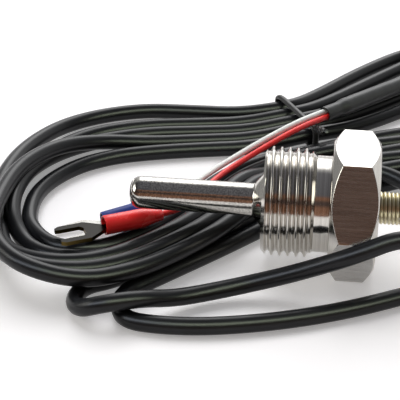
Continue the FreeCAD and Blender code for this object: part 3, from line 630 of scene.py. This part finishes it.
# %% [markdown]
# The stem is a drawn tube, closed and rounded at its tip and polished. A cylinder with a bevelled end
# would be solid. One profile turned about the axis gives the outside, the tip and the bore at once: it
# runs from the middle of the tip to where the tube ends inside the fitting, and back along the bore.

# %% stem
TIP, STEM_RADIUS, TIP_ROUNDING, TIP_WALL = -32.8, 3.0, 2.0, 0.6
tip_arc = np.radians(np.linspace(90.0, 0.0, 13))
stem_profile = np.concatenate([
    [(TIP, 0.0), (TIP, 0.5)],
    np.column_stack([TIP + TIP_ROUNDING * (1.0 - np.sin(tip_arc)),
                     STEM_RADIUS - TIP_ROUNDING + TIP_ROUNDING * np.cos(tip_arc)]),
    [(-24.0, STEM_RADIUS), (-14.0, STEM_RADIUS), (SHEATH_END, STEM_RADIUS), (SHEATH_END, STEM_BORE),
     (TIP + TIP_WALL, STEM_BORE), (TIP + TIP_WALL, 0.0)]])
stem = surface("polished_stem", [turned(stem_profile)], drawn_steel)
print("stem:", len(stem.data.polygons), "faces")

# %% [markdown]
# The spring keeps the cable from kinking where it leaves the fitting. It could be a ridged tube, as in
# the solids, but light falls between real turns. So it is a closely wound wire: a circle carried along a
# helix, with a point at both ends so that the wire is closed. The side of the section points straight out
# from the axis, so the wire doesn't twist.

# %% strain relief spring
SPRING_TO, SPRING_RADIUS, WIRE, WIRE_PITCH, WIRE_STEPS = 32.8, 2.65, 0.7, 0.72, 48
half_wire = WIRE / 2.0
wire_turns = (SPRING_TO - SOCKET_FLOOR - WIRE) / WIRE_PITCH
wire_angle = np.linspace(0.0, 2.0 * np.pi * wire_turns, int(wire_turns * WIRE_STEPS))
wire_out = np.column_stack([np.zeros_like(wire_angle), np.cos(wire_angle), np.sin(wire_angle)])
wire_path = SPRING_RADIUS * wire_out + [0.0, 0.0, AXIS_HEIGHT]
wire_path[:, 0] += SOCKET_FLOOR + half_wire + WIRE_PITCH * wire_angle / (2.0 * np.pi)
wire_size = np.full(len(wire_path), half_wire)
wire_size[[0, -1]] = 0.0
spring = surface("wound_spring", [carried(wire_path, wire_out, round_section(10), wire_size)], spring_steel)
print("spring:", round(float(wire_turns), 1), "turns,", len(spring.data.polygons), "faces")

# %% [markdown]
# Shrink tube closes the cable where its two cores come out. It was shrunk onto the jacket and, past the
# jacket's end, onto the cores, where it is thinner. The last points of the cable's own spline lie on a
# straight line and give the sleeve its place and way. The profile starts at the back end, close on the
# jacket, and turns inwards at the mouth, so that the tube is closed a few millimetres inside it.

# %% shrink sleeve
SLEEVE_BACK, SLEEVE_FLOOR, SLEEVE_LIP, SLEEVE_COLUMNS = -24.0, 3.0, 0.02, 40
OVER_JACKET, SHRUNK_BY, NECK_FROM, NECK_LENGTH, RIPPLE = 1.85, 0.27, -0.3, 2.2, 0.02


def level_frame(way):
    """Three unit vectors: the way itself, the level one square to it, and the upward one square to both."""
    way = np.asarray(way, dtype=float) / np.linalg.norm(way)
    level = np.cross([0.0, 0.0, 1.0], way)
    level /= np.linalg.norm(level)
    return way, level, np.cross(way, level)


def turned_along(profile, origin, way):
    """(distance, radius) rows turned about a line: origin + distance * way + radius * spoke."""
    way, level, upward = level_frame(way)
    distance, radius = np.array(profile, dtype=float).T[:, :, None]
    ring = round_section(SLEEVE_COLUMNS)
    spokes = ring[:, :1] * level + ring[:, 1:] * upward
    return origin + distance[..., None] * way + radius[..., None] * spokes[None]


cable_way = cable_line[-1] - cable_line[-6]
shrunk = np.linspace(SLEEVE_BACK, SLEEVE_REACH, 50)
shrunk_radius = OVER_JACKET - SHRUNK_BY * ease((shrunk - NECK_FROM) / NECK_LENGTH)
shrunk_radius += RIPPLE * np.sin(2.3 * shrunk) * np.sin(0.9 * shrunk)
sleeve_profile = np.concatenate([
    [(SLEEVE_BACK - SLEEVE_LIP, 1.56), (SLEEVE_BACK - SLEEVE_LIP, 1.76)],
    np.column_stack([shrunk, shrunk_radius]),
    [(SLEEVE_REACH + SLEEVE_LIP, 1.45), (SLEEVE_REACH, 1.3), (SLEEVE_REACH - SLEEVE_FLOOR, 1.26),
     (SLEEVE_REACH - SLEEVE_FLOOR, 0.0)]])
shrink_sleeve = surface("shrunk_sleeve", [
    turned_along(sleeve_profile, cable_line[-1], cable_way)], shrink_black)
print("shrink sleeve:", len(shrink_sleeve.data.polygons), "faces")

# %% [markdown]
# Each core ends in a fork terminal with a soft vinyl sleeve, red on the red core and blue on the white
# one. The sleeve narrows to the wire and is open towards the fork. It is one closed profile, turned about
# the terminal's own line: the outside first, then back along the bore. The stamped forks keep their
# solids.

# %% terminal sleeves
WHITE_TERMINAL = [(-28.65, 9.95, 3.6), (-0.878, -0.467, -0.11)]
RED_TERMINAL = [(-27.3, 3.7, 5.3), (-0.893, -0.45, -0.01)]
VINYL_PROFILE = [
    (0.0, 0.62), (0.0, 0.95), (0.12, 1.08), (1.2, 1.22), (2.4, 1.5), (3.5, 1.76), (4.2, 1.83), (5.0, 1.85),
    (6.8, 1.82), (8.4, 1.85), (10.2, 1.85), (11.3, 1.85), (11.46, 1.8), (11.5, 1.7), (11.46, 1.55),
    (11.3, 1.46), (10.0, 1.43), (4.3, 1.42), (4.2, 0.62), (0.0, 0.62)]
red_vinyl = extruded_plastic("red_soft_vinyl", "#d2181e", "#f03a36", 0.26, 4.0, 0.08, 0.35)
blue_vinyl = extruded_plastic("blue_soft_vinyl", "#132668", "#1d3684", 0.32, 4.0, 0.06, 0.35, shine=0.3)
red_sleeve = surface("red_vinyl_sleeve", [turned_along(VINYL_PROFILE, *RED_TERMINAL)], red_vinyl)
blue_sleeve = surface("blue_vinyl_sleeve", [turned_along(VINYL_PROFILE, *WHITE_TERMINAL)], blue_vinyl)
print("vinyl sleeves:", len(red_sleeve.data.polygons), "faces each")

# %% [markdown]
# A thin plastic-covered wire ties the hank. It is a flattened section carried round a loop in the plane
# across the hank. The loop is a rounded rectangle: a superellipse, whose high power makes the sides
# nearly straight. Its first row is repeated at the end, so that the ring closes.

# %% loop of the cable tie
TIE_PLACE, TIE_HALF_WIDTH, TIE_LOW, TIE_HIGH, TIE_POWER = middle[0], 8.85, 0.55, 5.25, 6.0
TIE_THICKNESS, TIE_WIDTH = 1.0, 1.4
tie_plastic = extruded_plastic("black_tie_covering", "#141414", "#242424", 0.42, 2.0, 0.06, 0.4)
loop_angle = np.linspace(0.0, 2.0 * np.pi, 121)
loop_across = np.sign(np.cos(loop_angle)) * np.abs(np.cos(loop_angle)) ** (2.0 / TIE_POWER)
loop_up = np.sign(np.sin(loop_angle)) * np.abs(np.sin(loop_angle)) ** (2.0 / TIE_POWER)
tie_level = np.append(outward[0], 0.0)
tie_middle = np.append(TIE_PLACE, (TIE_LOW + TIE_HIGH) / 2.0)
loop_path = tie_middle + TIE_HALF_WIDTH * loop_across[:, None] * tie_level
loop_path[:, 2] += (TIE_HIGH - TIE_LOW) / 2.0 * loop_up
tie_side = np.tile(np.append(heading[0], 0.0), (len(loop_path), 1))
loop_grid = carried(loop_path, tie_side, round_section(12, TIE_WIDTH / 2.0, TIE_THICKNESS / 2.0))
loop_grid[-1] = loop_grid[0]
print("tie loop:", loop_grid.shape)

# %% [markdown]
# The tie's two ends are twisted round each other. Each is a strand carried along its own helix about one
# short line, half a turn apart, and both shrink to a point at their ends, which closes them.

# %% twisted ends of the cable tie
TWIST_HEADING, TWIST_LENGTH, TWISTS, TWIST_INSET = np.array([0.45, -0.8, 0.25]), 4.5, 1.6, 0.5
STRAND_WIDE, STRAND_HIGH = 0.4, 0.5
twist_way, twist_level, twist_up = level_frame(TWIST_HEADING)
twist_from = tie_middle - (TIE_HALF_WIDTH - TWIST_INSET) * tie_level
twist_from = twist_from + [0.0, 0.0, (TIE_HIGH - TIE_LOW) / 2.0]
twist_share = np.linspace(0.0, 1.0, 40)
strand_size = np.where((twist_share == 0.0) | (twist_share == 1.0), 0.0, 1.0)
tie_grids = [loop_grid]
for start_angle in (0.0, np.pi):
    twist = start_angle + 2.0 * np.pi * TWISTS * twist_share
    around = np.cos(twist)[:, None] * twist_level + np.sin(twist)[:, None] * twist_up
    strand = twist_from + TWIST_LENGTH * twist_share[:, None] * twist_way + STRAND_WIDE * around
    tie_grids.append(carried(strand, around, round_section(10, STRAND_WIDE, STRAND_HIGH), strand_size))
tie = surface("twisted_tie", tie_grids, tie_plastic)
print("tie:", len(tie.data.polygons), "faces")

# %% [markdown]
# The forks were stamped from brass strip and tinned. The red fork's faces are painted near black, a
# painted reflection of the dark room that its tin mirrors, while the blue fork keeps the grey of plain
# tin. The stamped edges show the brass, so the colour goes from one to the other where the surface turns
# away from its flat. A bevel breaks the sharp edges of the solids, which are kept.

# %% forks
STAIN, STAIN_GLOSS = 0.8, 0.08
EDGE_UNTIL, FLAT_FROM = 0.6, 0.95
FORK_BEVEL = 0.08


def stamped_strip(name, dark, light, cut, roughness):
    """Tinned strip: the object's own normal tells the flats, which face up or down, from the edges."""
    material, tree, shader = start_material(name)
    place = add(tree, "ShaderNodeTexCoord").outputs
    stain = noise(tree, place["Object"], STAIN, 3.0)
    skin = blend(tree, stain, linear(dark), linear(light))
    facing = add(tree, "ShaderNodeSeparateXYZ", {"Vector": place["Normal"]}).outputs
    flat = rescale(tree, work_out(tree, "ABSOLUTE", facing["Z"]), EDGE_UNTIL, FLAT_FROM)
    plug(tree, shader, {
        "Base Color": blend(tree, flat, linear(cut), skin),
        "Roughness": rescale(tree, stain, to_low=roughness - STAIN_GLOSS, to_high=roughness + STAIN_GLOSS),
        "Metallic": 1.0})
    return material


# The red fork's near-black skin is a painted reflection of the dark room. Its edges show real brass,
# darkened by the same painted reflection.
tin_painted_dark_reflection = stamped_strip("tin_on_brass_painted_dark_reflection", "#0d0c0a", "#201d17", "#5c4d2a", 0.34)
bright_tin = stamped_strip("bright_tin_on_brass", "#b9b7b2", "#d9d7d2", "#d0ccc2", 0.28)
for node in ("red_fork", "blue_fork"):
    broken_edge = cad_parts[node].modifiers.new("broken_edge", "BEVEL")
    broken_edge.width = FORK_BEVEL * MM
    broken_edge.segments = 2
    broken_edge.limit_method = "ANGLE"
print("forks: edges broken by", FORK_BEVEL, "mm")

# %% [markdown]
# Inside the stem and the fitting are the sensing element, its wires and sleeves, the splices and what
# seals them. Their solids have the right shape, so they only get the finish of what they are made of, in
# their material slots. They could share one grey, but whoever takes the part apart will want to tell them
# apart.

# %% the pieces inside
crimp_brass = bare_steel("stamped_brass", "#a8863f", "#cfae62", 0.25, 0.2, 0.4)
drawn_wire = bare_steel("drawn_element_wire", "#b3afa4", "#d3cfc4", 0.2, 0.1, 0.2)
ferrule_steel = bare_steel("turned_ferrule_steel", "#b3b0aa", "#d3d0ca", 0.15, 0.1, 0.3)
ceramic = extruded_plastic("sintered_ceramic", "#ddd8cc", "#eeeae0", 0.6, 1.0, 0.05, 0.4)
fibre = extruded_plastic("braided_glass_fibre", "#d8d3c4", "#eae6da", 0.8, 0.8, 0.05, 0.6)
splice = extruded_plastic("black_splice_tube", "#1c1c1c", "#2b2b2b", 0.55, 2.0, 0.06, 0.4)
paste = extruded_plastic("white_heat_paste", "#dcdcd8", "#ececea", 0.5, 1.0, 0.08, 0.6)
resin = extruded_plastic("cast_black_resin", "#100e0e", "#1c1918", 0.2, 2.0, 0.05, 0.2)
FINISHES = {
    "red_fork": tin_painted_dark_reflection, "blue_fork": bright_tin, "cable_entry": black_pvc,
    "sensing_element": ceramic, "element_wire_a": drawn_wire, "element_wire_b": drawn_wire,
    "wire_sleeve_a": fibre, "wire_sleeve_b": fibre,
    "splice_crimp_a": crimp_brass, "splice_crimp_b": crimp_brass,
    "splice_sleeve_a": splice, "splice_sleeve_b": splice,
    "inner_core_white": white_insulation, "inner_core_red": red_insulation,
    "thermal_paste": paste, "potting_resin": resin, "cable_ferrule": ferrule_steel,
}
for node, material in FINISHES.items():
    for material_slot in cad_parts[node].material_slots:
        material_slot.material = material
print("finishes on", len(FINISHES), "solids")

# %% [markdown]
# The set is a white painted table that fills the whole picture, so one plane is enough. The lamps leave
# it a little under white. Seen directly, in metal or through glass it therefore glows a little, which
# lights nothing else: the shadows and the object keep their own level of light.

# %% table
TABLE_REACH, TABLE_GRAIN, TABLE_GLOW = 3.0, 25.0, 0.28
floor = bpy.data.objects.new("table", bpy.data.meshes.new("table"))
scene.collection.objects.link(floor)
floor.data.from_pydata(
    [(-TABLE_REACH, -TABLE_REACH, 0.0), (TABLE_REACH, -TABLE_REACH, 0.0),
     (TABLE_REACH, TABLE_REACH, 0.0), (-TABLE_REACH, TABLE_REACH, 0.0)], [], [(0, 1, 2, 3)])
table_white, tree, shader = start_material("white_painted_table")
grain = noise(tree, add(tree, "ShaderNodeTexCoord").outputs["Object"], TABLE_GRAIN, 2.0)
rays = add(tree, "ShaderNodeLightPath").outputs
seen = work_out(tree, "MAXIMUM", rays["Is Camera Ray"], rays["Is Glossy Ray"])
seen = work_out(tree, "MAXIMUM", seen, rays["Is Transmission Ray"])
plug(tree, shader, {
    "Base Color": blend(tree, grain, linear("#f4f3f5"), linear("#f8f7f8")),
    "Roughness": 0.9, "Specular IOR Level": 0.0,
    "Emission Color": linear("#ffffff"), "Emission Strength": work_out(tree, "MULTIPLY", seen, TABLE_GLOW)})
floor.data.materials.append(table_white)
print("table:", 2.0 * TABLE_REACH, "m wide")

# %% [markdown]
# The lamps are soft rectangles. One hangs overhead, a little behind the object, and makes the shadow in
# front of it, and one at the left stands for a window. They could light everything alike, but then the
# table would be burnt out before the coloured plastics are bright enough. So a front lamp lights only
# those, by light linking, and two long strips high in front are seen only in the dark plastics, where
# they draw the soft line along each cable. Places and sizes are in metres.

# %% lamps
STRIP_Y, STRIP_Z, STRIP_HEIGHT = -0.7, 0.95, 0.5
STRIPS = [("green_strip", 0.78, 1.8, 28.0, "#e2eed2"), ("grey_strip", -0.92, 1.6, 20.0, "#d2dae6")]


def soft_lamp(name, place, width, height, power, aim=(0.0, 0.0, 0.0)):
    """A rectangular lamp whose back points from its aim to its place, so that it shines on the aim."""
    lamp = bpy.data.objects.new(name, bpy.data.lights.new(name, "AREA"))
    scene.collection.objects.link(lamp)
    away = np.subtract(place, aim)
    away /= np.linalg.norm(away)
    right = np.cross([0.0, 0.0, 1.0], away) / np.linalg.norm(away[:2])
    stand = np.eye(4)
    stand[:3, :3] = np.column_stack([right, np.cross(away, right), away])
    stand[:3, 3] = place
    lamp.matrix_world = Matrix(stand.tolist())
    lamp.data.shape = "RECTANGLE"
    lamp.data.size, lamp.data.size_y = width, height
    lamp.data.energy = power
    return lamp


def shine_only_on(lamp, pieces):
    """Light linking: the lamp lights these pieces and nothing else, so it adds nothing to the table."""
    lit = bpy.data.collections.new("lit_by_" + lamp.name)
    for piece in pieces:
        lit.objects.link(piece)
    lamp.light_linking.receiver_collection = lit


top_light = soft_lamp("soft_top_light", (-0.35, 0.4, 1.1), 0.8, 0.8, 6.0)
top_light.visible_glossy = False
front_light = soft_lamp("soft_front_light", (-0.25, -0.75, 1.05), 1.0, 1.0, 3.0)
front_light.visible_glossy = False
shine_only_on(front_light, [white_core, red_core, red_sleeve, blue_sleeve])
left_window = soft_lamp("left_window", (-1.0, -0.12, 0.5), 0.7, 0.5, 4.5)
left_window.data.color = linear("#faf9f0")[:3]
for strip_name, strip_x, strip_width, power, tint in STRIPS:
    strip = soft_lamp(
        strip_name, (strip_x, STRIP_Y, STRIP_Z), strip_width, STRIP_HEIGHT, power, aim=(strip_x, 0.0, 0.0))
    strip.data.color = linear(tint)[:3]
    strip.visible_diffuse = False
    shine_only_on(strip, [cable, shrink_sleeve, tie])

# %% [markdown]
# Bare steel shows the room, so the room matters as much as the lamps. In front and overhead it is dark,
# brown up to about forty-five degrees and grey above, and the steel shows that as bands. Behind is a
# bright, soft panel. The room could be built from planes. Here the sky's colour follows the angle of a
# direction about the sensor's axis, from the horizon in front over the top to the horizon behind, and the
# panel is a brighter part of it: the product of four soft edges. Towards the left the room gets darker.

# %% room
ROOM_BANDS = [(0.0, "#96705c"), (20.0, "#8c6854"), (27.0, "#544844"), (34.0, "#544844"), (40.0, "#8c6854"),
              (44.0, "#8a6652"), (49.0, "#68686d"), (108.0, "#737378"), (130.0, "#ffffff")]
PANEL_GLOW = 4.4
PANEL_TOP, PANEL_FOOT = np.radians([118.0, 132.0]), np.radians([168.0, 158.0])
PANEL_LEFT, PANEL_RIGHT = (-0.26, -0.12), (0.3, 0.18)
DARK_LEFT, FULL_FROM, LEFT_LEVEL = -0.6, -0.15, 0.35
world = bpy.data.worlds.new("room")
scene.world = world
world.use_nodes = True
tree = world.node_tree
tree.nodes.clear()
sky_place = add(tree, "ShaderNodeTexCoord").outputs["Generated"]
direction = add(tree, "ShaderNodeSeparateXYZ", {"Vector": sky_place}).outputs
forward = work_out(tree, "MULTIPLY", direction["Y"], -1.0)
over_top = work_out(tree, "ARCTAN2", direction["Z"], forward)
bands = add(tree, "ShaderNodeValToRGB", {"Fac": work_out(tree, "MULTIPLY", over_top, 1.0 / np.pi)})
for _ in ROOM_BANDS[2:]:
    bands.color_ramp.elements.new(0.5)
for element, (degrees, paint) in zip(bands.color_ramp.elements, ROOM_BANDS):
    element.position = degrees / 180.0
    element.color = linear(paint)
panel = 1.0
for reading, edge in [
        (over_top, PANEL_TOP), (over_top, PANEL_FOOT),
        (direction["X"], PANEL_LEFT), (direction["X"], PANEL_RIGHT)]:
    panel = work_out(tree, "MULTIPLY", panel, rescale(tree, reading, *edge))
strength = work_out(tree, "MULTIPLY_ADD", panel, PANEL_GLOW - 1.0, 1.0)
left_side = rescale(tree, direction["X"], DARK_LEFT, FULL_FROM, to_low=LEFT_LEVEL)
room = add(tree, "ShaderNodeBackground", {
    "Color": bands.outputs["Color"], "Strength": work_out(tree, "MULTIPLY", strength, left_side)})
add(tree, "ShaderNodeOutputWorld", {"Surface": room.outputs["Background"]})
print("room bands:", len(ROOM_BANDS))

# %% [markdown]
# Last, every piece is attached to the body it moves with, and the solids it stands for are hidden.
# Three of them are cords. The table gives each piece, the record's material that it wears and the
# solids it stands for.

# %% pieces and their solids
PIECES = [
    (fitting, "turned_steel", ["process_fitting"]),
    (stem, "drawn_steel", ["probe_sheath"]),
    (spring, "spring_steel", ["strain_relief_spring"]),
    (cable, "cable_jacket", ["cable_lead", "cable_hank", "cable_tail"]),
    (shrink_sleeve, "shrink_tube", ["heat_shrink_sleeve"]),
    (white_core, "white_insulation", ["white_lead"]),
    (red_core, "red_insulation", ["red_lead"]),
    (red_sleeve, "red_vinyl", ["red_fork_sleeve"]),
    (blue_sleeve, "blue_vinyl", ["blue_fork_sleeve"]),
    (tie, "tie_plastic", ["cable_tie"]),
]
for piece, slot_name, nodes in PIECES:
    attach(piece, "root")
    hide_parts(*nodes)
